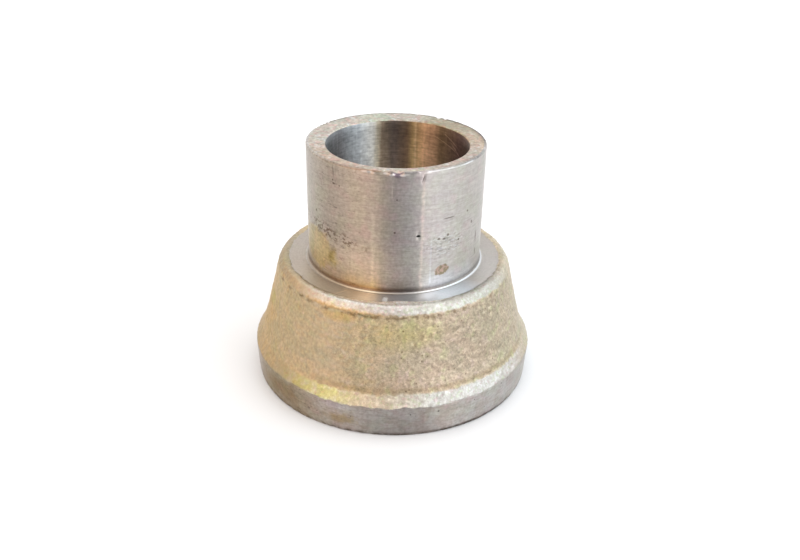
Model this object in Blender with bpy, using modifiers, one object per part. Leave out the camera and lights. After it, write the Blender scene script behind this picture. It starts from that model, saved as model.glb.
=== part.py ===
"""Concentric reducer: a one-piece forged steel pipe fitting.

A turned spigot (the plain male end) stands on a forged, slightly conical body. The body ends in
a thicker collar around a socket for the larger pipe. Everything is in metres, +Z runs from the
socket end to the spigot end, and the origin is the middle of the socket's end face.
"""

import math

import bpy

# Lengths along the axis
OVERALL_HEIGHT = 0.0375
SHOULDER_HEIGHT = 0.01905
SOCKET_DEPTH = 0.0125

# Outer radii
SPIGOT_RADIUS = 0.013335
SHOULDER_EDGE_RADIUS = 0.01640
COLLAR_RADIUS = 0.02220
BASE_RADIUS = 0.02190

# The as-forged skin between the shoulder and the collar, as corners of (radius, height).
# It starts at the crown's lip, a little above the turned shoulder.
CROWN_LIP = (0.01660, 0.01920)
CROWN_TOP = (0.01730, 0.01923)
CROWN_CORNER = (0.01806, 0.01812)
CONE_FOOT = (0.02033, 0.00900)
CHAMFER_TOP = (0.02108, 0.00695)
COLLAR_TOP_HEIGHT = 0.00505

# Corner radii
SPIGOT_EDGE_BREAK = 0.00020
ROOT_FILLET = 0.00045
CROWN_TOP_ROUNDING = 0.00060
CROWN_ROUNDING = 0.00050
CONE_FOOT_ROUNDING = 0.00800
CHAMFER_TOP_ROUNDING = 0.00100
COLLAR_ROUNDING = 0.00060
BASE_EDGE_BREAK = 0.00035

# The waterway. The bore is machined a little off the spigot's axis.
BORE_RADIUS = 0.01055
BORE_OFFSET = (0.00020, -0.00110)
BORE_MOUTH_CHAMFER = 0.00015
SOCKET_RADIUS = 0.01697
SOCKET_MOUTH_CHAMFER = 0.00050
TAPER_MOUTH_RADIUS = 0.01330

STEPS = 72
CUTTER_OVERRUN = 0.002
WELD_DISTANCE = 0.000001
SHARP_ANGLE = math.radians(25)
ARC_STEP = math.radians(12)


def rounded_outline(corners):
    """Turns (radius, height, rounding) corners into outline points, with an arc at each rounding."""
    points = [corners[0][:2]]
    for before, corner, after in zip(corners, corners[1:], corners[2:]):
        points += corner_arc(before, corner, after)
    points.append(corners[-1][:2])
    return points


def corner_arc(before, corner, after):
    """The points of one corner: itself where it is sharp, or an arc tangent to both of its sides."""
    x, z, rounding = corner
    if rounding == 0:
        return [(x, z)]
    heading_in = math.atan2(z - before[1], x - before[0])
    heading_out = math.atan2(after[1] - z, after[0] - x)
    turn = math.remainder(heading_out - heading_in, math.tau)
    side = math.copysign(1, turn)
    tangent_length = rounding * math.tan(abs(turn) / 2)
    start_x = x - tangent_length * math.cos(heading_in)
    start_z = z - tangent_length * math.sin(heading_in)
    centre_x = start_x - side * rounding * math.sin(heading_in)
    centre_z = start_z + side * rounding * math.cos(heading_in)
    pieces = max(2, math.ceil(abs(turn) / ARC_STEP))
    arc = []
    for i in range(pieces + 1):
        angle = heading_in - side * math.pi / 2 + turn * i / pieces
        arc.append((centre_x + rounding * math.cos(angle), centre_z + rounding * math.sin(angle)))
    return arc


def turned_solid(name, outline, collection):
    """A solid of revolution about Z, from an outline that runs down its outer side."""
    mesh = bpy.data.meshes.new(name)
    vertices = [(x, 0, z) for x, z in outline]
    edges = [(i, i + 1) for i in range(len(outline) - 1)]
    mesh.from_pydata(vertices, edges, [])
    solid = bpy.data.objects.new(name, mesh)
    collection.objects.link(solid)
    screw = solid.modifiers.new("turn", "SCREW")
    screw.axis = "Z"
    screw.steps = STEPS
    screw.render_steps = STEPS
    screw.use_merge_vertices = True
    screw.merge_threshold = WELD_DISTANCE
    screw.use_smooth_shade = False
    return solid


def body_outline():
    """The outside of the fitting, from the spigot's end face down to the base."""
    return rounded_outline([
        (0, OVERALL_HEIGHT, 0),
        (SPIGOT_RADIUS, OVERALL_HEIGHT, SPIGOT_EDGE_BREAK),
        (SPIGOT_RADIUS, SHOULDER_HEIGHT, ROOT_FILLET),
        (SHOULDER_EDGE_RADIUS, SHOULDER_HEIGHT, 0),
        (*CROWN_LIP, 0),
        (*CROWN_TOP, CROWN_TOP_ROUNDING),
        (*CROWN_CORNER, CROWN_ROUNDING),
        (*CONE_FOOT, CONE_FOOT_ROUNDING),
        (*CHAMFER_TOP, CHAMFER_TOP_ROUNDING),
        (COLLAR_RADIUS, COLLAR_TOP_HEIGHT, COLLAR_ROUNDING),
        (BASE_RADIUS, 0, BASE_EDGE_BREAK),
        (0, 0, 0),
    ])


def socket_outline():
    """The socket for the larger pipe: chamfered mouth, wall, flat stop and a 45 degree taper."""
    mouth = SOCKET_RADIUS + SOCKET_MOUTH_CHAMFER
    return [
        (0, SOCKET_DEPTH + TAPER_MOUTH_RADIUS),
        (TAPER_MOUTH_RADIUS, SOCKET_DEPTH),
        (SOCKET_RADIUS, SOCKET_DEPTH),
        (SOCKET_RADIUS, SOCKET_MOUTH_CHAMFER),
        (mouth, 0),
        (mouth, -CUTTER_OVERRUN),
        (0, -CUTTER_OVERRUN),
    ]


def bore_outline():
    """The bore through the spigot, from past its chamfered mouth down into the socket."""
    mouth = BORE_RADIUS + BORE_MOUTH_CHAMFER
    return [
        (0, OVERALL_HEIGHT + CUTTER_OVERRUN),
        (mouth, OVERALL_HEIGHT + CUTTER_OVERRUN),
        (mouth, OVERALL_HEIGHT),
        (BORE_RADIUS, OVERALL_HEIGHT - BORE_MOUTH_CHAMFER),
        (BORE_RADIUS, SOCKET_DEPTH / 2),
        (0, SOCKET_DEPTH / 2),
    ]


def cut(solid, cutter):
    """Takes the cutter out of the solid and shows the cutter only as a wire guide."""
    cutter.hide_render = True
    cutter.display_type = "WIRE"
    boolean = solid.modifiers.new("cut " + cutter.name, "BOOLEAN")
    boolean.operation = "DIFFERENCE"
    boolean.solver = "EXACT"
    boolean.object = cutter


def steel_material():
    """Machined and forged carbon steel with a thin straw-coloured passivated surface."""
    material = bpy.data.materials.new("forged_steel")
    material.use_nodes = True
    shader = material.node_tree.nodes["Principled BSDF"]
    shader.inputs["Base Color"].default_value = (0.56, 0.50, 0.42, 1)
    shader.inputs["Metallic"].default_value = 1.0
    shader.inputs["Roughness"].default_value = 0.42
    return material


def new_collection(name):
    collection = bpy.data.collections.new(name)
    bpy.context.scene.collection.children.link(collection)
    return collection


def clear_scene():
    for thing in list(bpy.data.objects):
        bpy.data.objects.remove(thing)


def main():
    clear_scene()
    parts = new_collection("concentric_reducer")
    cutters = new_collection("cutters")

    body = turned_solid("reducer_body", body_outline(), parts)
    socket = turned_solid("socket_cutter", socket_outline(), cutters)
    bore = turned_solid("bore_cutter", bore_outline(), cutters)
    bore.location = (*BORE_OFFSET, 0)
    cut(body, socket)
    cut(body, bore)

    body.data.materials.append(steel_material())
    body.data.shade_smooth()
    body.data.set_sharp_from_angle(angle=SHARP_ANGLE)


main()
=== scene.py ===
"""Concentric reducer: the detailed visual model of the forging, its steel surfaces and the studio.

Lengths are millimetres until the mesh is made. Azimuths are degrees about the spigot's axis: 0 is
the camera's side, 90 is its right and 180 the back.
"""

import math
import random

import bpy
import numpy as np
from mathutils import Matrix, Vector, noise


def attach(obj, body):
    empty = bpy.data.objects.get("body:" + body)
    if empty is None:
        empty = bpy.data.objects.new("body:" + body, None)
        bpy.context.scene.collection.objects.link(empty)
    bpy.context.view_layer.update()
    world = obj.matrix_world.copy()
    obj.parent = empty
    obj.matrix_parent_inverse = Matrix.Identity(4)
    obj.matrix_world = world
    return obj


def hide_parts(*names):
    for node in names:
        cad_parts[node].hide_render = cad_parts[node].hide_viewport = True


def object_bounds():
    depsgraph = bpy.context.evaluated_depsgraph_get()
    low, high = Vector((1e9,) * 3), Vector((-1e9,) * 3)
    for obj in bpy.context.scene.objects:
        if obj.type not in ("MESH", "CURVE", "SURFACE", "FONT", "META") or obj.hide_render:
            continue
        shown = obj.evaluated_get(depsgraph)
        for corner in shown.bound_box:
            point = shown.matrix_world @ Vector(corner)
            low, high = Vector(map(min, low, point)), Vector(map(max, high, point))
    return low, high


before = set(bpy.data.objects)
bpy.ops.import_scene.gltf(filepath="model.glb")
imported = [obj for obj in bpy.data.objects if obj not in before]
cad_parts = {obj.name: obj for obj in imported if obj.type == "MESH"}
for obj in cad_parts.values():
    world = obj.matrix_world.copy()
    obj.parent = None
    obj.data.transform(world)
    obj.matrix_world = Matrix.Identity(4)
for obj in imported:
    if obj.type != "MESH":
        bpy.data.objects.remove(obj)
cad_low, cad_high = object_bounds()

MM = 0.001
NODE = "reducer_body"

# The CAD model's own dimensions
HEIGHT = cad_high.z / MM
COLLAR_RADIUS = cad_high.x / MM
SPIGOT_RADIUS = 13.335
BASE_RADIUS = 21.9
SHOULDER_HEIGHT = 19.05
SHOULDER_EDGE_RADIUS = 16.4
CROWN_LIP = (16.6, 19.2)
CROWN_TOP = (17.3, 19.23)
CROWN_CORNER = (18.06, 18.12)
CONE_FOOT = (20.33, 9)
CHAMFER_TOP = (21.08, 6.95)
COLLAR_TOP_HEIGHT = 5.05
SPIGOT_EDGE_BREAK = 0.2
ROOT_FILLET = 0.45
CROWN_TOP_ROUNDING = 0.6
CROWN_ROUNDING = 0.5
CONE_FOOT_ROUNDING = 8
CHAMFER_TOP_ROUNDING = 1
COLLAR_ROUNDING = 0.6
BASE_EDGE_BREAK = 0.35
BORE_RADIUS = 10.55
BORE_OFFSET = (0.2, -1.1)
BORE_MOUTH_CHAMFER = 0.15
SOCKET_RADIUS = 16.97
SOCKET_DEPTH = 12.5
SOCKET_MOUTH_CHAMFER = 0.5
TAPER_MOUTH_RADIUS = 13.3

# The visual mesh: a closed grid of rings from the spigot's edge down the outside, round the base,
# and up the inside
COLUMNS = 512
AZIMUTHS = np.linspace(-180, 180, COLUMNS, endpoint=False)
ZONES = ("outside", "end_face", "bore", "socket")
SHARP_ANGLE = math.radians(50)

# Fractal noise: how fast its octaves weaken, how much finer each one is, and the shift per seed
OCTAVE_FADE = 0.8
OCTAVE_STEP = 2.1
SEED_SHIFT = 17.3

# The forged skin's ragged limit: how far on each side it may waver, over what length, and how deep
RAGGED_LIMIT = (1.2, 1.5, 0.26)

# At the front the lathe left some forged skin on the shoulder: azimuth, half width in degrees, reach
UNCUT_SKIN = (2, 13, 0.65)

# Marks in the steel: azimuth, radius, height, half width, half length, depth, tilt of the length
SLIT = (17, 13.33, 36.4, 0.1, 0.52, 0.1, -18)
SCRATCH = (-39.6, 13.33, 36.3, 0.1, 0.52, 0.08, 4)
SHORT_SCRATCH = (-38.8, 13.33, 34.75, 0.1, 0.2, 0.05, -20)
CHIP = (31.8, 13.33, 22, 1.15, 0.75, 0.1, 10)
BLACK_PIT = (15, 13.33, 27.93, 0.22, 0.14, 0.12, 0)
RIM_MARKS = (
    (-6.4, 13.25, 37.42, 0.75, 0.36, 0.3, 0),
    (2, 13.25, 37.42, 0.66, 0.48, 0.44, 0),
    (-1.6, 13.25, 37.42, 0.3, 0.22, -0.05, 0),
    (5.7, 13.25, 37.42, 0.3, 0.22, -0.06, 0),
    (-14.3, 13.25, 37.4, 0.28, 0.3, 0.24, 0),
    (150.3, 13.2, 37.45, 0.38, 0.3, 0.26, 0),
    (144.8, 13.2, 37.45, 0.22, 0.3, 0.16, 0),
)
SERRATIONS = [
    (azimuth, 13.2, 37.45, 0.16, 0.35, 0.17, 0) for azimuth in (-126, -122.5, -119, -116, -112)
]
SHOULDER_NICK = (-3.9, 15.3, 19.05, 0.34, 0.55, 0.03, 0)
SHOULDER_SCRATCH = (-29, 15.1, 19.05, 0.1, 1.1, 0.05, 0)
CONE_PITS = (
    (9.7, 19.1, 13.97, 0.16, 0.34, 0.18, 15),
    (9, 18.15, 17.75, 0.8, 0.16, 0.12, 0),
    (-8, 18.12, 17.8, 1.3, 0.14, 0.09, 0),
    (-22, 19.5, 12.2, 0.18, 0.18, 0.12, 0),
    (-47, 18.6, 16, 0.22, 0.22, 0.12, 0),
    (-58, 18.3, 17.2, 0.2, 0.2, 0.1, 0),
    (37, 19.8, 11, 0.2, 0.2, 0.1, 0),
)
CRESCENT = (30, 18.85, 14.9, 0.85, 0.28, 0.12, 25)
COLLAR_PITS = (
    (-5.4, 22.2, 3.9, 0.16, 0.16, 0.1, 0),
    (-3.2, 22.2, 3.8, 0.12, 0.18, 0.1, 0),
    (0.9, 22.2, 4.6, 0.42, 0.12, 0.06, 0),
    (-52, 22.2, 3.1, 0.3, 0.26, 0.1, 0),
)

# How many small marks are scattered over the spigot, the collar and the forged skin
SPIGOT_DINGS = 34
COLLAR_DINGS = 26
SKIN_PITS = 70

# Dark dots on the spigot's wall: azimuth, height, half width, half height
WALL_DOTS = (
    (-40.2, 35, 0.14, 0.14),
    (-39.4, 34.5, 0.24, 0.14),
    (-35, 34.4, 0.12, 0.12),
    (57, 27.9, 0.2, 0.24),
    (-57.9, 29.1, 0.2, 0.2),
    (0.6, 28.6, 0.16, 0.16),
    (1.6, 33.5, 0.11, 0.12),
    (28.6, 27.05, 0.24, 0.18),
    (32.2, 26.9, 0.26, 0.18),
    (35.1, 27.4, 0.2, 0.2),
    (44.1, 26.1, 0.18, 0.18),
    (51.5, 30.05, 0.2, 0.16),
    (35.5, 30, 1, 0.08),
    (64.5, 24.9, 0.18, 0.9),
    (65, 22.4, 0.16, 0.6),
)

# Bruises on the spigot's front edge, painted pale as highlights: azimuth, height, half width, half height,
# strength
BRUISE_HIGHLIGHTS = (
    (-17.5, 37.3, 0.65, 0.14, 0.45),
    (-13.2, 37.24, 0.42, 0.14, 0.32),
    (-5, 37.22, 0.46, 0.12, 0.38),
    (-1.6, 37.08, 0.42, 0.15, 0.5),
    (4.8, 37, 0.42, 0.15, 0.58),
    (6.8, 37.14, 0.5, 0.14, 0.4),
    (19.5, 37.24, 0.6, 0.13, 0.42),
)

# Light scratches on the bore's far wall: azimuth, height, half length, tilt
BORE_SCRATCHES = (
    (132, 34.7, 2.7, -73),
    (128, 35.6, 1.9, -66),
    (122, 34.4, 1.3, -58),
)

# Films, painted light and painted reflections, as (azimuth, grey or colour) stops round the axis. They
# multiply the steel's colour
# Partly film, partly painted reflection: the wall's lighter and darker bands round the axis stand in for
# the studio's reflections
WALL_FILM_AND_REFLECTION = (
    (-180, 1), (-75, 0.98), (-57, (0.97, 0.97, 0.92)), (-42, (0.86, 0.81, 0.74)),
    (-30, (0.95, 0.9, 0.83)), (-15, (1.06, 0.97, 0.89)), (-10, (1.1, 1, 0.9)),
    (-7.5, (0.94, 0.86, 0.79)), (1, (0.84, 0.79, 0.81)), (8, (0.92, 0.93, 0.97)),
    (14, (1.02, 1.03, 1.08)), (45, 1),
)
RIM_FILM = (
    (-180, 0.46), (-165, 0.84), (-138, 0.46), (-115, 1), (-75, (1.08, 1.12, 1.2)),
    (-45, (0.92, 0.9, 0.92)), (-14, (0.72, 0.6, 0.52)), (0, 0.76), (16, 0.98), (35, 0.86), (46, 0.66),
    (60, 0.56), (78, 0.98), (92, (0.36, 0.31, 0.26)), (106, (0.22, 0.18, 0.16)),
    (120, (0.44, 0.42, 0.38)), (135, (0.12, 0.1, 0.08)), (150, 0.36), (165, 0.56),
)
# Painted shade in the fillet at the spigot's foot, round the axis
ROOT_SHADE = (
    (-180, (0.5, 0.46, 0.42)), (-60, (0.52, 0.45, 0.4)), (-25, (0.6, 0.44, 0.3)),
    (-15, (0.85, 0.7, 0.52)), (-9, (0.6, 0.42, 0.28)), (-5, (0.42, 0.3, 0.22)),
    (10, (0.3, 0.27, 0.26)), (40, 0.5),
)
# A painted highlight in the fillet: gold on the left, white on the right and bluish beyond
ROOT_HIGHLIGHT = (
    (-180, 0.4), (-65, (0.33, 0.29, 0.25)), (-35, (0.46, 0.38, 0.27)), (-25, (0.7, 0.58, 0.42)),
    (-14, (1, 0.92, 0.72)), (-5, (0.66, 0.58, 0.48)), (5, (0.52, 0.48, 0.44)), (20, 0.92),
    (38, (0.76, 0.82, 0.88)), (65, 0.54),
)
# Painted reflections on the mirror-like turned shoulder, round the axis; above 1 they brighten it
SHOULDER_REFLECTIONS = (
    (-180, 0.92), (-75, (0.91, 0.85, 0.77)), (-50, (1.04, 0.97, 0.87)), (-33, (1.13, 1.1, 0.98)),
    (-22, (1.46, 1.38, 1.15)), (-14, (2.25, 2.18, 1.95)), (-6, (1.45, 1.52, 1.6)),
    (5, (1.25, 1.36, 1.5)), (16, (1.3, 1.4, 1.48)), (27, (1.85, 2.15, 2.4)),
    (42, (1.28, 1.45, 1.65)), (54, 0.99), (80, 0.92),
)
GOLDEN_FILM = ((-180, 1), (-150, (1.02, 0.96, 0.86)), (-75, (1.04, 0.92, 0.66)), (-25, 1))
# The cone's film with painted shade: darker round the axis, most on the front right
CONE_FILM_AND_SHADE = (
    (-180, 0.9), (-95, (0.82, 0.83, 0.88)), (-60, (0.84, 0.84, 0.82)), (-30, (0.82, 0.83, 0.81)),
    (-18, (0.81, 0.82, 0.77)), (-6, (0.96, 0.95, 0.92)), (5, (1, 0.97, 1)),
    (16, (0.88, 0.85, 0.88)), (28, (0.68, 0.66, 0.68)), (38, (0.67, 0.65, 0.66)),
    (60, 0.76), (110, 0.92),
)
# Painted highlight tints on the collar's chamfer: yellow-green on the left, brighter at the front and right
CHAMFER_HIGHLIGHT = (
    (-180, 0.9), (-45, (0.82, 0.84, 0.76)), (-35, (0.84, 0.89, 0.72)), (-20, (1, 1.04, 0.9)),
    (-3, (1.18, 1.1, 0.91)), (8, (1.13, 1.1, 1)), (16, (0.95, 0.95, 0.97)),
    (35, (1.03, 1.03, 1.07)), (60, (1.19, 1.16, 1.2)),
)
# The colour of the painted highlights on the rubbed crown and chamfer, round the axis
RUBBED_HIGHLIGHT_HUE = (
    (-180, (0.7, 0.64, 0.56)), (-58, (0.55, 0.46, 0.35)), (-44, (0.78, 0.68, 0.56)),
    (-25, (0.97, 0.97, 0.9)), (-12, (0.91, 0.87, 0.83)), (2, (0.91, 0.88, 0.85)),
    (16, (0.81, 0.82, 0.76)), (30, (0.61, 0.6, 0.55)), (46, (0.54, 0.53, 0.48)),
    (70, (0.56, 0.52, 0.47)),
)
END_FACE_FILM = (
    (-180, 0.7), (-165, 0.95), (-150, 0.82), (-135, 0.72), (-120, 1), (-75, (1.02, 1.07, 1.1)),
    (-45, (1, 1.02, 1.06)), (-15, (0.84, 0.78, 0.74)), (0, 0.88), (15, (1.14, 1.1, 1.04)), (30, 1),
    (45, 0.76), (60, 0.8), (75, (1.18, 1.16, 1.1)), (90, (0.86, 0.81, 0.75)),
    (105, (0.66, 0.6, 0.56)), (120, (0.85, 0.81, 0.75)), (135, (0.56, 0.52, 0.44)), (150, 0.74),
    (165, (0.88, 0.83, 0.77)),
)

# How yellow, and how coarse, the forged skin is round the axis, as shares
YELLOW_SHARE = ((-180, 0.9), (-120, 0.4), (-30, 0.4), (0, 0.9))
ROUGH_SIDE = ((-180, 1), (-150, 1), (-95, 0), (-38, 0), (-10, 1))

# The colours of the bored wall, partly heat tint and partly painted reflections, with azimuths measured
# from the back
BORE_TINTS_AND_REFLECTIONS = (
    (-180, (0.67, 0.64, 0.61)), (-90, 0.24), (-55, (0.23, 0.23, 0.24)),
    (-36, (0.44, 0.46, 0.47)), (-22, (0.55, 0.55, 0.51)), (-18, (0.5, 0.46, 0.35)),
    (-14, (0.33, 0.26, 0.19)), (-4, (0.18, 0.14, 0.12)), (8, (0.21, 0.14, 0.09)),
    (13, (0.42, 0.3, 0.15)), (15.5, (0.62, 0.46, 0.27)), (17, (0.46, 0.32, 0.17)),
    (23, (0.57, 0.38, 0.23)), (30, (0.43, 0.28, 0.18)), (40, (0.22, 0.15, 0.09)),
    (62, (0.18, 0.12, 0.11)), (85, (0.18, 0.14, 0.13)),
)

# The studio: light by azimuth, as shares of its strength
STUDIO_STRENGTH = 3
SURROUND_BANDS = (
    (-180, (0.44, 0.44, 0.45)), (-150, (0.5, 0.46, 0.41)), (-115, (0.47, 0.37, 0.29)),
    (-80, (0.46, 0.35, 0.26)), (-55, (0.73, 0.5, 0.35)), (-38, (0.67, 0.46, 0.32)),
    (-20, (0.25, 0.17, 0.13)), (-5, (0.02, 0.018, 0.02)), (16, (0.02, 0.02, 0.022)),
    (28, (0.15, 0.14, 0.15)), (33.5, (0.37, 0.34, 0.34)), (35, (1.28, 1.2, 1.21)),
    (42, (1.24, 1.23, 1.26)), (58, (1.22, 1.28, 1.35)), (85, (0.94, 1.03, 1.08)),
    (140, (0.62, 0.67, 0.71)),
)
OVERHEAD_SHARE = ((0.32, 0), (0.8, 1))
OVERHEAD_COLOUR = (0.58, 0.575, 0.57)
BACKDROP_COLOUR = (0.333, 0.333, 0.333)
FLOOR_COLOUR = (0.72, 0.735, 0.75)
FLOOR_HALF_WIDTH = 3000

# The camera: its place, its height above level in degrees, its roll in radians and its lens
CAMERA_PLACE = (1.03, -119.25, 78.24)
CAMERA_ELEVATION = 28.3
CAMERA_ROLL = 0.0239
CAMERA_LENS = 37.96


# --- The outline and its rings

def rounded_outline(corners):
    """Turns (radius, height, rounding) corners into outline points, with an arc at each rounding."""
    points = [np.array(corners[0][:2])]
    for before, corner, after in zip(corners, corners[1:], corners[2:]):
        points += corner_arc(before, corner, after)
    points.append(np.array(corners[-1][:2]))
    return np.array(points)


def corner_arc(before, corner, after, pieces=24):
    """The points of one corner: itself where it is sharp, or an arc tangent to both of its sides."""
    here = np.array(corner[:2])
    rounding = corner[2]
    if rounding == 0:
        return [here]
    into = here - np.array(before[:2])
    away = np.array(after[:2]) - here
    into /= np.linalg.norm(into)
    away /= np.linalg.norm(away)
    turn = math.acos(np.clip(into @ away, -1, 1))
    start = here - into * rounding * math.tan(turn / 2)
    inwards = (away - into) / np.linalg.norm(away - into)
    centre = here + inwards * rounding / math.cos(turn / 2)
    arc = []
    for angle in np.linspace(0, turn, pieces + 1):
        arc.append(centre + (start - centre) * math.cos(angle) + into * rounding * math.sin(angle))
    return arc


def resampled(points, spacing):
    """The same outline with its points about `spacing` apart."""
    steps = np.linalg.norm(np.diff(points, axis=0), axis=1)
    along = np.concatenate(([0], np.cumsum(steps)))
    count = max(2, round(along[-1] / spacing) + 1)
    wanted = np.linspace(0, along[-1], count)
    return np.stack([np.interp(wanted, along, points[:, i]) for i in (0, 1)], axis=1)


def ring(radius, height, off_axis=0):
    """One row of the mesh: a circle, moved off the axis by that share of the bore's offset."""
    turn = np.radians(AZIMUTHS)
    points = np.empty((COLUMNS, 3))
    points[:, 0] = off_axis * BORE_OFFSET[0] + radius * np.sin(turn)
    points[:, 1] = off_axis * BORE_OFFSET[1] - radius * np.cos(turn)
    points[:, 2] = height
    return points


def outside_stretches():
    """The outside, as (zone, row spacing, corners). A stretch starts where the one before it ends."""
    rim = (SPIGOT_RADIUS - 2 * SPIGOT_EDGE_BREAK, HEIGHT, 0)
    root_top = SHOULDER_HEIGHT + 2 * ROOT_FILLET
    root_edge = SPIGOT_RADIUS + 2 * ROOT_FILLET
    below_rim, below_marks = HEIGHT - 0.7, HEIGHT - 3
    crown_start = SHOULDER_EDGE_RADIUS - 0.4
    drop = 0.8
    taper = (COLLAR_RADIUS - BASE_RADIUS) / COLLAR_TOP_HEIGHT
    band_top = (COLLAR_RADIUS - drop * taper, COLLAR_TOP_HEIGHT - drop, 0)
    base_edge = (BASE_RADIUS - 2 * BASE_EDGE_BREAK, 0, 0)
    return (
        ("outside", 0.14, [rim, (SPIGOT_RADIUS, HEIGHT, SPIGOT_EDGE_BREAK),
                           (SPIGOT_RADIUS, below_rim, 0)]),
        ("outside", 0.33, [(SPIGOT_RADIUS, below_marks, 0)]),
        ("outside", 0.5, [(SPIGOT_RADIUS, root_top, 0)]),
        ("outside", 0.14, [(SPIGOT_RADIUS, SHOULDER_HEIGHT, ROOT_FILLET), (root_edge, SHOULDER_HEIGHT, 0)]),
        ("outside", 0.27, [(crown_start, SHOULDER_HEIGHT, 0)]),
        ("outside", 0.21, [(SHOULDER_EDGE_RADIUS, SHOULDER_HEIGHT, 0), *crown_and_cone(), band_top]),
        ("outside", 0.3, [(BASE_RADIUS, 0, BASE_EDGE_BREAK), base_edge]),
        ("socket", 1, [(SOCKET_RADIUS + SOCKET_MOUTH_CHAMFER, 0, 0)]),
        ("socket", 0.4, [(SOCKET_RADIUS, SOCKET_MOUTH_CHAMFER, 0)]),
        ("socket", 3, [(SOCKET_RADIUS, SOCKET_DEPTH, 0)]),
        ("socket", 1.8, [(TAPER_MOUTH_RADIUS, SOCKET_DEPTH, 0)]),
    )


def crown_and_cone():
    """The corners of the forged skin, from the crown's lip down to the collar's top."""
    return [
        (*CROWN_LIP, 0),
        (*CROWN_TOP, CROWN_TOP_ROUNDING),
        (*CROWN_CORNER, CROWN_ROUNDING),
        (*CONE_FOOT, CONE_FOOT_ROUNDING),
        (*CHAMFER_TOP, CHAMFER_TOP_ROUNDING),
        (COLLAR_RADIUS, COLLAR_TOP_HEIGHT, COLLAR_ROUNDING),
    ]


def turned_rows():
    """The rings that are centred on the spigot's axis, with their zones."""
    rows, zones, start = [], [], []
    for zone, spacing, corners in outside_stretches():
        outline = resampled(rounded_outline(start + corners), spacing)
        rows += [ring(radius, height) for radius, height in outline[:-1]]
        zones += [zone] * (len(outline) - 1)
        start = corners[-1:]
    return rows, zones


def bored_rows():
    """The rings of the taper, the off-centre bore and the end face, with their zones."""
    foot = ring(BORE_RADIUS, 0, off_axis=1)
    foot[:, 2] = SOCKET_DEPTH + TAPER_MOUTH_RADIUS - np.hypot(foot[:, 0], foot[:, 1])
    mouth = ring(TAPER_MOUTH_RADIUS, SOCKET_DEPTH)
    top = ring(BORE_RADIUS, HEIGHT - BORE_MOUTH_CHAMFER, off_axis=1)
    lip = ring(BORE_RADIUS + BORE_MOUTH_CHAMFER, HEIGHT, off_axis=1)
    edge = ring(SPIGOT_RADIUS - 2 * SPIGOT_EDGE_BREAK, HEIGHT)
    rows, zones = [], []
    for zone, start, end, count in (
        ("bore", mouth, foot, 3),
        ("bore", foot, top, 14),
        ("end_face", top, lip, 1),
        ("end_face", lip, edge, 9),
    ):
        rows += [start + (end - start) * i / count for i in range(count)]
        zones += [zone] * count
    return rows, zones


# --- Relief in the steel

def grid_normals(grid):
    """Unit normals of a closed grid of rows and columns, pointing out of the steel."""
    down = np.roll(grid, -1, axis=0) - np.roll(grid, 1, axis=0)
    round_ = np.roll(grid, -1, axis=1) - np.roll(grid, 1, axis=1)
    normals = np.cross(down, round_)
    return normals / np.linalg.norm(normals, axis=2, keepdims=True)


def fractal(points, size, octaves, seed):
    """Fractal noise at each point of a grid, with its largest features about `size` across."""
    shifted = points.reshape(-1, 3) / size + seed * SEED_SHIFT
    values = [noise.fractal(p, OCTAVE_FADE, OCTAVE_STEP, octaves) for p in shifted.tolist()]
    return np.array(values).reshape(points.shape[:2])


def smooth_step(values, low, high):
    share = np.clip((values - low) / (high - low), 0, 1)
    return share * share * (3 - 2 * share)


def forged_depth(grid):
    """How far inside the as-forged skin each point lies. Below zero, the lathe has turned it."""
    radius = np.hypot(grid[..., 0], grid[..., 1])
    height = grid[..., 2]
    middle, half_width, reach = UNCUT_SKIN
    edge = SHOULDER_EDGE_RADIUS - reach * np.exp(-((AZIMUTHS - middle) / half_width) ** 2)
    past_edge = np.hypot(radius - edge, height - SHOULDER_HEIGHT)
    past_edge = np.where(radius < edge, -past_edge, past_edge)
    depth = np.minimum(past_edge, height - COLLAR_TOP_HEIGHT)
    width, length, shift = RAGGED_LIMIT
    near = np.abs(depth) < width
    ragged = np.zeros_like(depth)
    rows = near.any(axis=1)
    ragged[rows] = fractal(grid[rows], length, 3, 4) * shift
    return np.clip(depth + ragged * near, -1, 1)


def forged_relief(grid):
    """The waviness, lumps and grain of the as-forged skin, as heights above its mean surface."""
    wave = fractal(grid, 8, 2, 1) * 0.09
    lumps = fractal(grid, 1.9, 2, 2) * 0.04
    grain = fractal(grid, 0.6, 2, 3) * 0.062
    return wave + lumps + grain


def mark_relief(grid, mark):
    """The height that one mark adds: it is negative in a dent and positive on a burr."""
    azimuth, radius, height, half_width, half_length, depth, tilt = mark
    turn, lean = math.radians(azimuth), math.radians(tilt)
    centre = np.array([radius * math.sin(turn), -radius * math.cos(turn), height])
    sideways = np.array([math.cos(turn), math.sin(turn), 0])
    away = grid - centre
    across = away @ sideways
    along_size = np.sqrt(np.maximum((away ** 2).sum(axis=2) - across ** 2, 0))
    outwards = away @ np.array([math.sin(turn), -math.cos(turn), 0])
    along = along_size * np.sign(away[..., 2] + outwards + 1e-9)
    leaned = across * math.cos(lean) + along * math.sin(lean)
    lengthways = along * math.cos(lean) - across * math.sin(lean)
    distance = (leaned / half_width) ** 2 + (lengthways / half_length) ** 2
    return -depth * np.exp(-distance ** 1.5)


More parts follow.
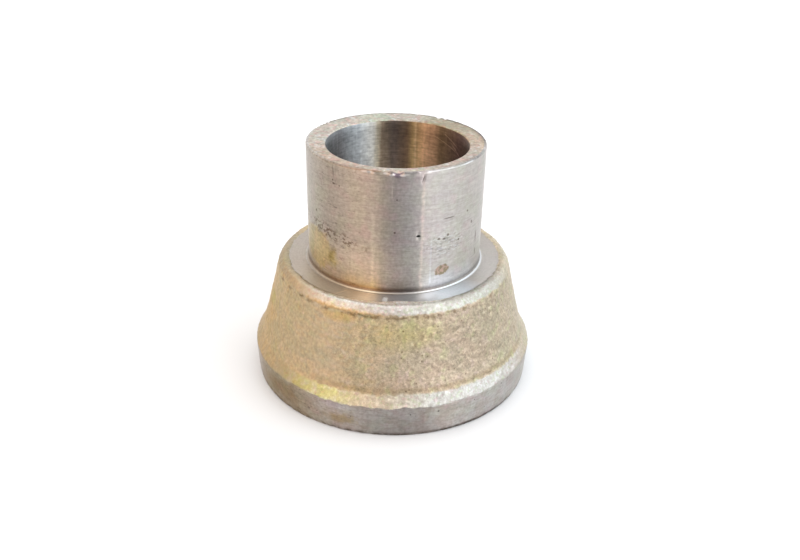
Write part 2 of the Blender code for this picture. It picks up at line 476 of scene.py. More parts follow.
def scattered_marks():
    """Small dings all round the spigot, the collar's band and the forged skin."""
    draw = random.Random(11)
    marks = []
    for _ in range(SPIGOT_DINGS):
        azimuth, height = draw.uniform(50, 330), draw.uniform(20.5, 36.5)
        half_length, tilt = draw.uniform(0.1, 0.5), draw.uniform(-60, 60)
        marks.append((azimuth, SPIGOT_RADIUS, height, 0.12, half_length, 0.05, tilt))
    for _ in range(COLLAR_DINGS):
        azimuth, height = draw.uniform(30, 330), draw.uniform(0.2, 4.2)
        marks.append((azimuth, COLLAR_RADIUS, height, draw.uniform(0.12, 0.3), 0.14, 0.07, 0))
    for _ in range(SKIN_PITS):
        share = draw.random()
        radius = CROWN_CORNER[0] + share * (CONE_FOOT[0] - CROWN_CORNER[0])
        height = CROWN_CORNER[1] + share * (CONE_FOOT[1] - CROWN_CORNER[1])
        size = draw.uniform(0.14, 0.3)
        marks.append((draw.uniform(-180, 180), radius, height, size, size, draw.uniform(0.04, 0.12), 0))
    return marks


def edge_wear(grid):
    """Uneven wear on the spigot's outer edge and the collar's bottom edge."""
    radius = np.hypot(grid[..., 0], grid[..., 1])
    height = grid[..., 2]
    rim = np.hypot(radius - SPIGOT_RADIUS, height - HEIGHT) < 0.45
    base = np.hypot(radius - BASE_RADIUS, height) < 1.3
    wear = np.zeros(grid.shape[:2])
    for near, size, depth, seed in ((rim, 0.9, 0.055, 6), (base, 1.2, 0.07, 7)):
        rows = near.any(axis=1)
        wear[rows] -= np.abs(fractal(grid[rows], size, 3, seed)) * depth * near[rows]
    return wear


def all_relief(grid, zones, depth):
    """Heights above the plain outline for every point of the grid."""
    relief = edge_wear(grid)
    forged = smooth_step(depth, -0.05, 0.12)
    rows = forged.any(axis=1)
    relief[rows] += forged_relief(grid[rows]) * forged[rows]
    radius = np.hypot(grid[..., 0], grid[..., 1])
    uncut = (radius < CROWN_LIP[0]) & (grid[..., 2] > SHOULDER_HEIGHT - 0.01) & (depth > 0)
    relief += np.where(uncut, smooth_step(depth, 0, 0.3) * (CROWN_LIP[1] - grid[..., 2]), 0)
    single = (SLIT, SCRATCH, SHORT_SCRATCH, CHIP, BLACK_PIT, SHOULDER_NICK, SHOULDER_SCRATCH, CRESCENT)
    for mark in (*single, *RIM_MARKS, *SERRATIONS, *CONE_PITS, *COLLAR_PITS, *scattered_marks()):
        relief += mark_relief(grid, mark)
    inside = np.array([zone in ("bore", "socket") for zone in zones])
    relief[inside] = 0
    return relief


# --- The mesh

def visual_mesh():
    rows_out, zones_out = turned_rows()
    rows_in, zones_in = bored_rows()
    grid = np.array(rows_out + rows_in)
    zones = zones_out + zones_in
    depth = forged_depth(grid)
    outside = np.array([zone == "outside" for zone in zones])
    depth[~outside] = -1
    relief = all_relief(grid, zones, depth)
    grid = grid + grid_normals(grid) * relief[..., None]
    body = closed_grid_object("reducer_forging", grid * MM, zones)
    skin = body.data.attributes.new("forged_depth", "FLOAT", "POINT")
    skin.data.foreach_set("value", depth.astype(np.float32).ravel())
    return body


def closed_grid_object(name, grid, zones):
    """A closed body from a grid that joins up in both directions, with one material slot per zone."""
    row_count, column_count = grid.shape[:2]
    rows, columns = np.meshgrid(np.arange(row_count), np.arange(column_count), indexing="ij")
    below, beside = (rows + 1) % row_count, (columns + 1) % column_count
    corners = ((rows, columns), (below, columns), (below, beside), (rows, beside))
    faces = np.stack([r * column_count + c for r, c in corners], axis=-1).reshape(-1, 4)

    mesh = bpy.data.meshes.new(name)
    mesh.from_pydata(grid.reshape(-1, 3).tolist(), [], faces.tolist())
    slots = np.repeat([ZONES.index(zone) for zone in zones], column_count)
    mesh.polygons.foreach_set("material_index", slots.astype(np.int32))
    mesh.update(calc_edges=True)
    mesh.validate()
    lay_out_flat(mesh, grid)
    body = new_object(name, mesh)
    mesh.shade_smooth()
    mesh.set_sharp_from_angle(angle=SHARP_ANGLE)
    return body


def new_object(name, data):
    """An object in the scene."""
    thing = bpy.data.objects.new(name, data)
    bpy.context.scene.collection.objects.link(thing)
    return thing


def lay_out_flat(mesh, grid):
    """A UV map that unrolls the closed grid: azimuth across, and the outline's length upwards."""
    row_count, column_count = grid.shape[:2]
    steps = np.linalg.norm(np.roll(grid, -1, axis=0) - grid, axis=2).mean(axis=1)
    along = np.concatenate(([0], np.cumsum(steps)))
    along /= along[-1]
    across = np.linspace(0, 1, column_count + 1)
    u = np.stack([across[:-1], across[:-1], across[1:], across[1:]], axis=1)
    v = np.stack([along[:-1], along[1:], along[1:], along[:-1]], axis=1)
    flat = np.empty((row_count, column_count, 4, 2), np.float32)
    flat[..., 0] = u[None, :, :]
    flat[..., 1] = v[:, None, :]
    layer = mesh.uv_layers.new(name="OFBake")
    layer.uv.foreach_set("vector", flat.ravel())


# --- Materials

class Painter:
    """One material's node tree, with a short method for each kind of node used here."""

    def __init__(self, name, centre=(0, 0)):
        self.material = bpy.data.materials.new(name)
        self.material.use_nodes = True
        self.tree = self.material.node_tree
        self.shader = self.tree.nodes["Principled BSDF"]
        metres = self.node("TexCoord").outputs["Object"]
        scaled = self.vector("SCALE", metres, scale=1 / MM)
        self.place = self.vector("SUBTRACT", scaled, (*centre, 0))
        self.x, self.y, self.height = self.node("SeparateXYZ", self.place).outputs
        self.radius = self.vector("LENGTH", self.vector("MULTIPLY", self.place, (1, 1, 0)))
        self.azimuth = self.angle()

    def node(self, kind, *values):
        """A new shader node, with its first inputs linked or set."""
        node = self.tree.nodes.new("ShaderNode" + kind)
        for socket, value in zip(node.inputs, values):
            self.feed(socket, value)
        return node

    def feed(self, socket, value):
        """Links a socket, or sets a plain value."""
        if isinstance(value, bpy.types.NodeSocket):
            self.tree.links.new(value, socket)
        else:
            socket.default_value = value

    def vector(self, operation, *values, scale=None):
        node = self.node("VectorMath", *values)
        node.operation = operation
        if scale is not None:
            node.inputs["Scale"].default_value = scale
        return node.outputs["Value" if operation == "LENGTH" else "Vector"]

    def maths(self, operation, *values):
        node = self.node("Math", *values)
        node.operation = operation
        return node.outputs[0]

    def product(self, *values):
        result = values[0]
        for value in values[1:]:
            result = self.maths("MULTIPLY", result, value)
        return result

    def scaled(self, value, by, plus):
        """The value times `by`, plus `plus`."""
        return self.maths("MULTIPLY_ADD", value, by, plus)

    def rise(self, value, low, high):
        """0 below `low`, 1 above `high` and a smooth step between; it falls where low is the larger."""
        ends = (0, 1) if low < high else (1, 0)
        node = self.node("MapRange", value, min(low, high), max(low, high), *ends)
        node.interpolation_type = "SMOOTHSTEP"
        return node.outputs["Result"]

    def span(self, value, low, high, soft):
        """1 between `low` and `high`, with soft ends."""
        start = self.rise(value, low - soft, low + soft)
        return self.product(start, self.rise(value, high + soft, high - soft))

    def sector(self, first, last, soft):
        """1 between two azimuths, with soft ends."""
        return self.span(self.azimuth, first, last, soft)

    def angle(self, from_back=False):
        """Degrees round the axis from the camera's side, or from the back, where no seam shows."""
        y = self.y if from_back else self.product(self.y, -1)
        return self.product(self.maths("ARCTAN2", self.x, y), math.degrees(1))

    def noise(self, size, seed, detail=2, roughness=0.5):
        """Noise from 0 to 1 whose features are about `size` across, the same in all directions."""
        return self.noise_at(self.vector("SCALE", self.place, scale=1 / size), seed, detail, roughness)

    def lines(self, length, width, seed, detail=2):
        """Noise drawn out round the axis, as the lathe's feed marks are, on walls and faces alike."""
        across = self.maths("SUBTRACT", self.height, self.radius)
        sizes = ((self.x, length), (self.y, length), (across, width))
        joined = self.node("CombineXYZ", *[self.maths("DIVIDE", value, size) for value, size in sizes])
        return self.noise_at(joined.outputs[0], seed, detail, 0.6)

    def drips(self, width, length, seed, detail=2):
        """Noise drawn out along the axis."""
        squeezed = self.vector("MULTIPLY", self.place, (1 / width, 1 / width, 1 / length))
        return self.noise_at(squeezed, seed, detail, 0.55)

    def noise_at(self, place, seed, detail, roughness):
        node = self.node("TexNoise", self.vector("ADD", place, (seed * 7.1, seed * 3.7, seed * 5.3)))
        node.inputs["Scale"].default_value = 1
        node.inputs["Detail"].default_value = detail
        node.inputs["Roughness"].default_value = roughness
        return node.outputs["Fac"]

    def specks(self, spacing, size, seed):
        """Round specks, one in each cell about `spacing` across."""
        cells = self.vector("SCALE", self.place, scale=1 / spacing)
        node = self.node("TexVoronoi", self.vector("ADD", cells, (seed, seed, seed)))
        node.inputs["Scale"].default_value = 1
        return self.rise(node.outputs["Distance"], size / spacing, 0.6 * size / spacing)

    def patch(self, azimuth, height, half_width, half_height, tilt=0, ragged=0.5, soft=0.5, grain=0.6,
              radius=SPIGOT_RADIUS, upright=None):
        """An irregular patch round a place, 1 inside and 0 outside. Its sizes are in millimetres."""
        turned = self.maths("SUBTRACT", self.azimuth, azimuth)
        across = self.product(turned, math.radians(radius))
        along = self.maths("SUBTRACT", self.height if upright is None else upright, height)
        cos, sin = math.cos(math.radians(tilt)), math.sin(math.radians(tilt))
        u = self.maths("ADD", self.product(across, cos), self.product(along, sin))
        v = self.maths("SUBTRACT", self.product(along, cos), self.product(across, sin))
        u, v = self.maths("DIVIDE", u, half_width), self.maths("DIVIDE", v, half_height)
        distance = self.maths("SQRT", self.maths("ADD", self.product(u, u), self.product(v, v)))
        wobble = self.scaled(self.noise(grain, abs(azimuth) + height), 2 * ragged, -ragged)
        return self.rise(self.maths("ADD", distance, wobble), 1 + soft, 1 - soft)

    def spot(self, azimuth, height, half_width, half_height):
        """A small soft-edged oval dot on the spigot's wall."""
        turned = self.maths("SUBTRACT", self.azimuth, azimuth)
        u = self.product(turned, math.radians(SPIGOT_RADIUS) / half_width)
        v = self.scaled(self.height, 1 / half_height, -height / half_height)
        return self.rise(self.maths("ADD", self.product(u, u), self.product(v, v)), 1.6, 0.3)

    def by_azimuth(self, stops, angle=None):
        """A colour that changes round the axis, from (azimuth, colour) stops that start at -180."""
        share = self.scaled(angle or self.azimuth, 1 / 360, 0.5)
        closed = (*stops, (180, stops[0][1]))
        return self.ramp(share, [((azimuth + 180) / 360, colour) for azimuth, colour in closed])

    def mix(self, share, first, second, blend="MIX"):
        node = self.node("Mix", share)
        node.data_type = "RGBA"
        node.blend_type = blend
        self.feed(node.inputs[6], opaque(first))
        self.feed(node.inputs[7], opaque(second))
        return node.outputs[2]

    def number_mix(self, share, first, second):
        node = self.node("Mix", share)
        self.feed(node.inputs[2], first)
        self.feed(node.inputs[3], second)
        return node.outputs[0]

    def tint(self, colour, share, by):
        """The colour multiplied by another colour, as far as the share says."""
        return self.mix(share, colour, by, "MULTIPLY")

    def tints(self, colour, *pairs):
        """The colour multiplied by each (share, tint) pair in turn."""
        for share, by in pairs:
            colour = self.tint(colour, share, by)
        return colour

    def shade(self, colour, value, low, high):
        """The colour times `low` where the value is 0, and times `high` where it is 1."""
        grey = self.scaled(value, high - low, low)
        return self.tint(colour, 1, self.node("CombineColor", grey, grey, grey).outputs[0])

    def ramp(self, share, stops):
        """A colour ramp of (place, grey or colour) stops."""
        node = self.node("ValToRGB", share)
        ramp = node.color_ramp
        while len(ramp.elements) > 1:
            ramp.elements.remove(ramp.elements[-1])
        for i, (place, colour) in enumerate(stops):
            element = ramp.elements[0] if i == 0 else ramp.elements.new(place)
            element.position = place
            element.color = opaque(colour)
        return node.outputs[0]

    def bump(self, relief, depth):
        """Puts relief into the normal, `depth` millimetres from 0 to 1."""
        node = self.node("Bump")
        node.inputs["Strength"].default_value = 1
        node.inputs["Distance"].default_value = depth * MM
        self.feed(node.inputs["Height"], relief)
        self.feed(self.shader.inputs["Normal"], node.outputs[0])

    def finish(self, colour, roughness, anisotropy):
        """Bare metal. Its anisotropy draws highlights out along the axis, as turned steel does."""
        tangent = self.node("Tangent")
        tangent.direction_type = "RADIAL"
        tangent.axis = "Z"
        for name, value in (
            ("Base Color", colour),
            ("Roughness", roughness),
            ("Metallic", 1),
            ("Tangent", tangent.outputs[0]),
            ("Anisotropic", anisotropy),
            ("Anisotropic Rotation", 0.25),
        ):
            self.feed(self.shader.inputs[name], value)
        return self.material


def opaque(colour):
    """A colour or a grey level as four numbers. A socket stays as it is."""
    if isinstance(colour, bpy.types.NodeSocket):
        return colour
    if isinstance(colour, tuple):
        return (*colour[:3], 1)
    return (colour, colour, colour, 1)


def turned_colour(p):
    """Turned steel under a thin passivated film: fine feed lines, faint olive and pink tints, stains, and
    painted light and reflections round the axis.
    """
    colour = p.mix(p.rise(p.noise(3.2, 1), 0.42, 0.62), (0.39, 0.358, 0.332), (0.38, 0.362, 0.318))
    colour = p.mix(p.rise(p.noise(2.1, 2), 0.52, 0.72), colour, (0.405, 0.35, 0.33))
    colour = p.shade(colour, p.lines(1.6, 0.22, 3, 3), 0.72, 1.28)
    colour = p.shade(colour, p.lines(7, 0.5, 4), 0.86, 1.14)
    smoother = p.product(p.sector(22, 150, 8), p.rise(p.height, 20, 21), 0.45)
    colour = p.shade(colour, p.number_mix(smoother, p.noise(0.42, 5, 3), 0.5), 0.68, 1.32)
    colour = p.shade(colour, p.drips(0.5, 4, 6), 0.9, 1.1)
    dashes = p.rise(p.lines(0.9, 0.26, 7), 0.6, 0.72)
    colour = p.tints(
        colour,
        (p.rise(p.height, SHOULDER_HEIGHT - 1, SHOULDER_HEIGHT), p.by_azimuth(WALL_FILM_AND_REFLECTION)),
        (p.product(dashes, p.sector(-120, -15, 20)), (0.62, 0.6, 0.6)),
    )
    on_wall = p.rise(p.height, SHOULDER_HEIGHT + 0.3, SHOULDER_HEIGHT + 0.6)
    colour = wall_lines(p, low_wall_film_and_light(p, wall_stains(p, colour, on_wall), on_wall), on_wall)
    return rim_wear_and_highlights(p, shoulder_face(p, root_shade_and_highlight(p, wall_dots(p, colour))))


def wall_stains(p, colour, on_wall):
    """An olive stain and a darker smear, low on the left of the spigot's wall."""
    olive = p.patch(-59.5, 23.2, 4.8, 3, ragged=0.45, soft=0.2, grain=1.2)
    colour = p.tint(colour, p.product(olive, on_wall), (1.02, 0.94, 0.64))
    colour = p.mix(olive, colour, p.shade(colour, p.noise(0.6, 15, 2), 0.7, 1.3))
    smear = p.patch(-42.3, 23.4, 0.6, 1.4, tilt=-20, ragged=0.8, soft=0.7)
    return p.tint(colour, p.product(smear, 0.8), (0.74, 0.72, 0.52))


def low_wall_film_and_light(p, colour, on_wall):
    """The film's changes towards the spigot's foot, which start at a wavering height, with painted shade
    low at the front and a painted blue-white glow low on the right.
    """
    low = p.maths("ADD", p.height, p.scaled(p.noise(1.5, 16), 2.4, -1.2))
    lighter = p.product(p.rise(low, 28, 22.5), p.sector(-62, 8, 8))
    foot = p.product(p.rise(low, 24.8, 20), p.sector(-110, -9, 4))
    golden = p.product(p.rise(low, 21.8, 19.9), p.sector(-34, -8, 5))
    middle_foot_shade = p.product(p.rise(low, 22.5, 19.9), p.sector(0, 10, 5))
    right_foot_glow = p.product(p.rise(p.height, 22.5, 20.5), p.sector(20, 60, 6))
    return p.tints(
        colour,
        (p.product(lighter, on_wall), (1.24, 1.2, 1.14)),
        (p.product(foot, on_wall), (1.02, 1, 0.94)),
        (p.product(golden, on_wall), (1.05, 1.02, 0.86)),
        (p.product(middle_foot_shade, on_wall), (0.88, 0.86, 0.8)),
        (p.product(right_foot_glow, on_wall), (1.16, 1.22, 1.3)),
    )


def wall_lines(p, colour, on_wall):
    """Two painted highlights down the spigot's wall at the edges of its reflections, pale scratches, and a
    worn area on its right.
    """
    dabs = p.scaled(p.noise(0.6, 10, 2), 1.6, 0.1)
    # Painted highlight: a pale band down the front left of the wall, stronger low down
    streak_highlight = p.product(p.sector(-13.6, -11.8, 1.2), p.rise(p.height, 33, 28), dabs)
    # Painted highlight: the crisp, wavering edge of a bright reflection at the front right
    wander = p.scaled(p.drips(0.8, 1.2, 12, 3), 3.6, -1.8)
    reflection_edge = p.span(p.maths("ADD", p.azimuth, wander), 16.5, 18.3, 0.8)
    broken = p.scaled(p.noise(0.7, 8, 2), 1.4, 0.2)
    pale_scratch = p.patch(-1.3, 34.6, 0.07, 0.85, ragged=0.2)
    white_line = p.product(p.sector(23, 24, 0.5), p.span(p.height, 20.2, 27, 0.8))
    worn = p.patch(33, 26, 3.2, 2, ragged=0.6)
    dark_dashes = p.rise(p.lines(0.7, 0.34, 13), 0.5, 0.62)
    bright_dashes = p.rise(p.lines(0.8, 0.3, 14), 0.5, 0.64)
    return p.tints(
        colour,
        (p.product(streak_highlight, on_wall), (1.24, 1.27, 1.24)),
        (p.product(reflection_edge, on_wall, broken), (1.24, 1.17, 1.14)),
        (pale_scratch, (1.28, 1.28, 1.26)),
        (white_line, (1.16, 1.2, 1.26)),
        (p.product(worn, dark_dashes), (0.74, 0.74, 0.75)),
        (p.product(worn, bright_dashes), (1.18, 1.22, 1.27)),
    )


def rim_wear_and_highlights(p, colour):
    """The worn edge round the spigot's end: dark at the back right, with a painted highlight along its
    front right, painted highlights on the bruises at the front and painted shade in a gouge.
    """
    rim = p.rise(p.height, HEIGHT - 0.24, HEIGHT - 0.14)
    worn = p.shade(p.tint(colour, 1, p.by_azimuth(RIM_FILM)), p.noise(0.42, 18, 2), 0.4, 1.6)
    colour = p.mix(rim, colour, worn)
    edge = p.product(p.span(p.height, HEIGHT - 0.22, HEIGHT - 0.06, 0.06), p.rise(p.radius, 13, 13.1))
    broken = p.scaled(p.noise(1.3, 19), 1.5, -0.3)
    # Painted highlight along the outer edge at the front right
    edge_highlight = p.product(edge, broken, p.sector(20, 56, 6))
    colour = p.mix(edge_highlight, colour, (0.66, 0.65, 0.65))
    # Painted shade in the gouge at the front of the edge
    gouge_shade = p.spot(2, HEIGHT - 0.42, 0.66, 0.38)
    colour = p.tint(colour, gouge_shade, (0.6, 0.54, 0.66))
    # Each bruise is painted pale, as a highlight
    for azimuth, height, half_width, half_height, strength in BRUISE_HIGHLIGHTS:
        spot = p.product(p.spot(azimuth, height, half_width, half_height), strength)
        colour = p.mix(spot, colour, (0.8, 0.76, 0.73))
    return colour


def wall_dots(p, colour):
    """Specks of scale, a chip, a pit, a slit and a scratch in the spigot's wall."""
    swarm = p.patch(-50, 26.8, 6.4, 1, tilt=-7, ragged=0.7, grain=1.2)
    dots = p.rise(p.lines(0.62, 0.42, 9, 1), 0.47, 0.62)
    colour = p.tint(colour, p.product(swarm, dots), (0.5, 0.44, 0.4))
    for azimuth, height, half_width, half_height in WALL_DOTS:
        dot = p.spot(azimuth, height, half_width, half_height)
        colour = p.tint(colour, dot, (0.42, 0.38, 0.36))
    chip = p.patch(CHIP[0], CHIP[2], 1.22, 0.8, tilt=CHIP[6], ragged=0.35, soft=0.12)
    bare = p.mix(p.rise(p.noise(0.5, 17), 0.42, 0.6), (0.22, 0.18, 0.12), (0.36, 0.26, 0.21))
    colour = p.mix(chip, colour, bare)
    pit = p.patch(BLACK_PIT[0], BLACK_PIT[2], 0.32, 0.17, ragged=0.1, soft=0.3)
    colour = p.mix(pit, colour, (0.02, 0.02, 0.02))
    slit = p.patch(SLIT[0], *SLIT[2:5], tilt=SLIT[6], ragged=0.2)
    colour = p.mix(p.product(slit, 0.65), colour, (0.08, 0.08, 0.075))
    scratch = p.patch(-39.9, 36.3, 0.09, 0.8, tilt=4, ragged=0.2)
    return p.mix(p.product(scratch, 0.5), colour, (0.1, 0.09, 0.08))


def root_shade_and_highlight(p, colour):
    """Painted shade in the fillet at the spigot's foot, and a painted highlight line beside it."""
    near_root = p.rise(p.radius, 13.54, 13.42)
    darkening = p.product(near_root, p.rise(p.height, SHOULDER_HEIGHT + 1.1, SHOULDER_HEIGHT + 0.35))
    fillet_shaded = p.tint(colour, 1, p.by_azimuth(ROOT_SHADE))
    colour = p.mix(p.product(darkening, 0.9), colour, fillet_shaded)
    line = p.product(p.span(p.radius, 13.5, 13.74, 0.05), p.rise(p.height, 19.34, 19.22))
    return p.mix(line, colour, p.by_azimuth(ROOT_HIGHLIGHT))


def shoulder_face(p, colour):
    """The turned shoulder: smoother than the wall, under painted reflections round the axis, with a painted
    highlight and two marks.
    """
    level = p.span(p.height, SHOULDER_HEIGHT - 0.3, SHOULDER_HEIGHT + 0.12, 0.04)
    shoulder = p.product(level, p.rise(p.radius, 13.84, 13.92))
    # Painted reflections round the axis
    film = p.by_azimuth(SHOULDER_REFLECTIONS)
    smooth = p.tint((0.375, 0.347, 0.322), 1, film)
    faced = p.mix(0.6, p.tint(colour, 1, film), smooth)
    # A painted highlight on the shoulder, right of the front
    painted_glint = p.patch(20, 14.5, 1.3, 0.8, tilt=-20, ragged=0.3, soft=0.9, radius=14.4, upright=p.radius)
    faced = p.mix(p.product(painted_glint, 0.8), faced, (0.95, 0.97, 1))
    scratch = p.patch(-29, 15.2, 0.07, 1, tilt=28, ragged=0.1, radius=15.2, upright=p.radius)
    faced = p.tint(faced, scratch, (1.45, 1.4, 1.3))
    nick = p.patch(*SHOULDER_NICK[:2], 0.36, 0.72, ragged=0.8, soft=0.35, grain=0.35,
                   radius=SHOULDER_NICK[1], upright=p.radius)
    faced = p.mix(nick, faced, (0.94, 0.98, 1))
    return p.mix(shoulder, colour, faced)


def collar_colour(p, colour):
    """The turned band round the collar: duller and mauve, with oil stains, darker towards its bottom edge.
    """
    band = p.rise(p.height, COLLAR_TOP_HEIGHT + 1.5, COLLAR_TOP_HEIGHT + 1)
    dull = p.mix(p.rise(p.noise(1.8, 21, 3), 0.35, 0.65), (0.88, 0.84, 0.835), (0.96, 0.98, 1.005))
    olive = p.patch(-18.5, 2.2, 2, 0.8, ragged=0.9, soft=0.6, grain=0.8, radius=COLLAR_RADIUS)
    lilac = p.patch(-19.5, 4.4, 2.2, 0.5, ragged=0.6, soft=0.6, grain=1, radius=COLLAR_RADIUS)
    left_stain = p.patch(-50, 2.9, 4, 1.4, ragged=0.9, soft=0.6, grain=1, radius=COLLAR_RADIUS)
    # Darker towards the bottom edge, in patches, and more on the right
    darkening = p.product(p.rise(p.height, 0.9, 0.15), p.rise(p.noise(1.1, 22), 0.35, 0.6))
    right_darkening = p.product(p.sector(18, 52, 6), p.rise(p.height, 0.75, 0.35))
    pits = p.product(band, p.specks(1.5, 0.16, 23), p.rise(p.noise(3, 24), 0.45, 0.6))
    return p.tints(
        colour,
        (band, dull),
        (olive, (0.88, 0.8, 0.6)),
        (lilac, (1.1, 1.12, 1.26)),
        (left_stain, (0.84, 0.74, 0.6)),
        (p.product(band, p.sector(-68, -32, 8)), (0.84, 0.775, 0.61)),
        (darkening, (0.4, 0.36, 0.33)),
        (right_darkening, (0.4, 0.38, 0.36)),
        (pits, (0.25, 0.24, 0.23)),
    )


def forged_colour(p):
    """As-forged skin: sandy grain under a yellow film; its edges rubbed and painted with highlights,
    painted shade under the crown and a darker band over the chamfer.
    """
    return band_edges(p, rubbed_highlight_bands(p, forged_grain(p, forged_patches(p, sand_colour(p)))))


def sand_colour(p):
    """The yellow passivated film's own colours, how they change round the axis, and painted shade round the
    cone.
    """
    sand = p.mix(p.rise(p.noise(2.6, 31, 2), 0.38, 0.64), (0.52, 0.43, 0.315), (0.47, 0.41, 0.295))
    yellow = p.product(p.rise(p.noise(1.4, 32, 2), 0.52, 0.7), p.by_azimuth(YELLOW_SHARE))
    sand = p.mix(yellow, sand, (0.5, 0.47, 0.3))
    sand = p.mix(p.rise(p.noise(1.2, 33, 2), 0.55, 0.75), sand, (0.54, 0.445, 0.355))
    return p.tints(sand, (1, p.by_azimuth(GOLDEN_FILM)), (1, p.by_azimuth(CONE_FILM_AND_SHADE)))


def forged_patches(p, sand):
    """Olive and green patches at the front of the cone, golden and green ones on its far left."""
    olive = p.patch(5, 15.3, 5.4, 2.4, ragged=0.7, soft=0.6, grain=1.6, radius=18.7)
    sand = p.tint(sand, p.product(olive, 0.85), (0.97, 0.99, 0.78))
    for azimuth, height, half_width in ((-2.5, 15.7, 1.2), (7.5, 15.2, 1.4), (17.5, 15.8, 0.9)):
        green = p.patch(azimuth, height, half_width, 0.7, ragged=0.9, soft=0.9, grain=0.5, radius=18.7)
        sand = p.tint(sand, p.product(green, 0.5), (1.1, 1.12, 0.88))
    far_left = p.patch(-82, 11.5, 5, 3.4, soft=0.6, grain=2, radius=19.6)
    left_green = p.patch(-76, 13.2, 1.8, 1, grain=1.2, radius=19.3)
    return p.tints(sand, (far_left, (1.06, 0.93, 0.66)), (left_green, (0.92, 1.04, 0.8)))


def forged_grain(p, sand):
    """The skin's grain: coarse and pitted at the front and right, and finer on the left."""
    coarse = p.shade(sand, p.noise(0.38, 34, 3, 0.72), 0.22, 1.78)
    coarse = p.shade(coarse, p.noise(1, 35), 0.78, 1.22)
    fine = p.shade(sand, p.noise(0.45, 38, 3), 0.6, 1.4)
    fine = p.shade(fine, p.drips(0.35, 2.5, 39), 0.84, 1.16)
    rough_side = p.by_azimuth(ROUGH_SIDE)
    rough = p.maths("ADD", rough_side, p.scaled(p.noise(3, 45), 0.8, -0.4))
    sand = p.mix(p.rise(rough, 0.15, 0.85), fine, coarse)
    pits = p.product(p.specks(0.9, 0.17, 36), p.rise(p.noise(2.2, 37), 0.42, 0.62), rough_side)
    return p.tint(sand, pits, (0.58, 0.55, 0.5))


def ragged_height(p):
    """The height, made to waver, for the ragged limits of the rubbed bands."""
    return p.maths("ADD", p.height, p.scaled(p.noise(0.8, 41, 3), 0.8, -0.4))


def rubbed_highlight_bands(p, sand):
    """The crown and the collar's chamfer: rubbed, and painted bright as highlights on the camera's side,
    where it is lit.
    """
    height = ragged_height(p)
    lit_crown = p.scaled(p.sector(-50, 68, 12), 0.8, 0.12)
    crown = p.product(p.rise(height, CROWN_CORNER[1] - 0.15, CROWN_CORNER[1] + 0.15), lit_crown)
    lit_chamfer = p.scaled(p.sector(-51, 66, 9), 0.74, 0.18)
    on_chamfer = p.span(height, COLLAR_TOP_HEIGHT - 1, CHAMFER_TOP[1] - 0.25, 0.2)
    chamfer = p.product(on_chamfer, lit_chamfer)
    on_crown = p.rise(height, CROWN_CORNER[1] - 0.1, CROWN_CORNER[1] + 0.3)
    left_crown = p.product(on_crown, p.sector(-110, -58, 8))
    # The painted highlight colour of the rubbed bands
    rubbed = rubbed_highlight_colour(p)
    sand = p.mix(crown, p.tint(sand, left_crown, (0.78, 0.84, 0.98)), rubbed)
    greenish = p.product(p.sector(-48, -16, 8), p.rise(p.noise(1.2, 47), 0.26, 0.62))
    polished_highlight = p.tints(rubbed, (greenish, (0.92, 0.93, 0.6)), (1, p.by_azimuth(CHAMFER_HIGHLIGHT)))
    return p.mix(chamfer, sand, polished_highlight)


def band_edges(p, sand):
    """Painted shade under the crown, a darker band over the chamfer, gold at the crown's left, and a
    painted highlight on its flat top.
    """
    height = ragged_height(p)
    lower_edge = p.span(height, CROWN_CORNER[1] - 0.25, CROWN_CORNER[1] + 0.25, 0.2)
    golden = p.patch(-24, 17, 2.6, 0.7, ragged=0.6, soft=0.6, grain=1.2, radius=CROWN_CORNER[0])
    # Painted shadow under the crown's lower edge, patchy and strongest at the front
    under_crown_shade = p.span(height, CROWN_CORNER[1] - 0.62, CROWN_CORNER[1] - 0.2, 0.24)
    dark_front = p.product(p.sector(-18, 10, 5), 0.18)
    patchy = p.rise(p.maths("ADD", p.noise(1.2, 44), dark_front), 0.46, 0.66)
    in_front = p.scaled(p.sector(-75, 66, 10), 0.8, 0.2)
    over_chamfer = p.span(height, CHAMFER_TOP[1] - 0.05, CHAMFER_TOP[1] + 0.65, 0.3)
    # Painted highlight on the crown's flat top, at the front
    flat_top_highlight = p.product(p.rise(p.radius, CROWN_TOP[0], CROWN_LIP[0]), p.rise(p.height, 18.6, 18.9))
    return p.tints(
        sand,
        (p.product(lower_edge, p.sector(-40, -3, 5)), (1.04, 0.91, 0.7)),
        (golden, (1.12, 1, 0.74)),
        (p.product(under_crown_shade, patchy, in_front), (0.5, 0.45, 0.39)),
        (p.product(over_chamfer, p.sector(-32, 75, 10)), (0.87, 0.84, 0.77)),
        (p.product(flat_top_highlight, p.sector(-26, 32, 10)), 1.75),
    )


def rubbed_highlight_colour(p):
    """Forged skin rubbed bright, in painted highlight colours: coarse sparkle, peach on the left, then
    silver, then greenish white.
    """
    sparkle = p.noise(0.42, 42, 3, 0.7)
    blotch = p.noise(1.3, 46, 2)
    value = p.maths("ADD", p.product(sparkle, 0.75), p.product(blotch, 0.25))
    calm = p.product(p.sector(-120, -35, 9), 0.6)
    value = p.number_mix(calm, value, 0.5)
    greys = ((0.36, (0.49, 0.48, 0.47)), (0.5, (0.6, 0.59, 0.58)), (0.63, (0.75, 0.76, 0.78)))
    pink = p.rise(p.noise(0.55, 43, 1), 0.58, 0.7)
    green = p.rise(p.noise(0.55, 48, 1), 0.56, 0.68)
    return p.tints(
        p.ramp(value, greys),
        (1, p.by_azimuth(RUBBED_HIGHLIGHT_HUE)),
        (pink, (0.98, 0.86, 0.9)),
        (green, (0.93, 1.01, 0.88)),
    )


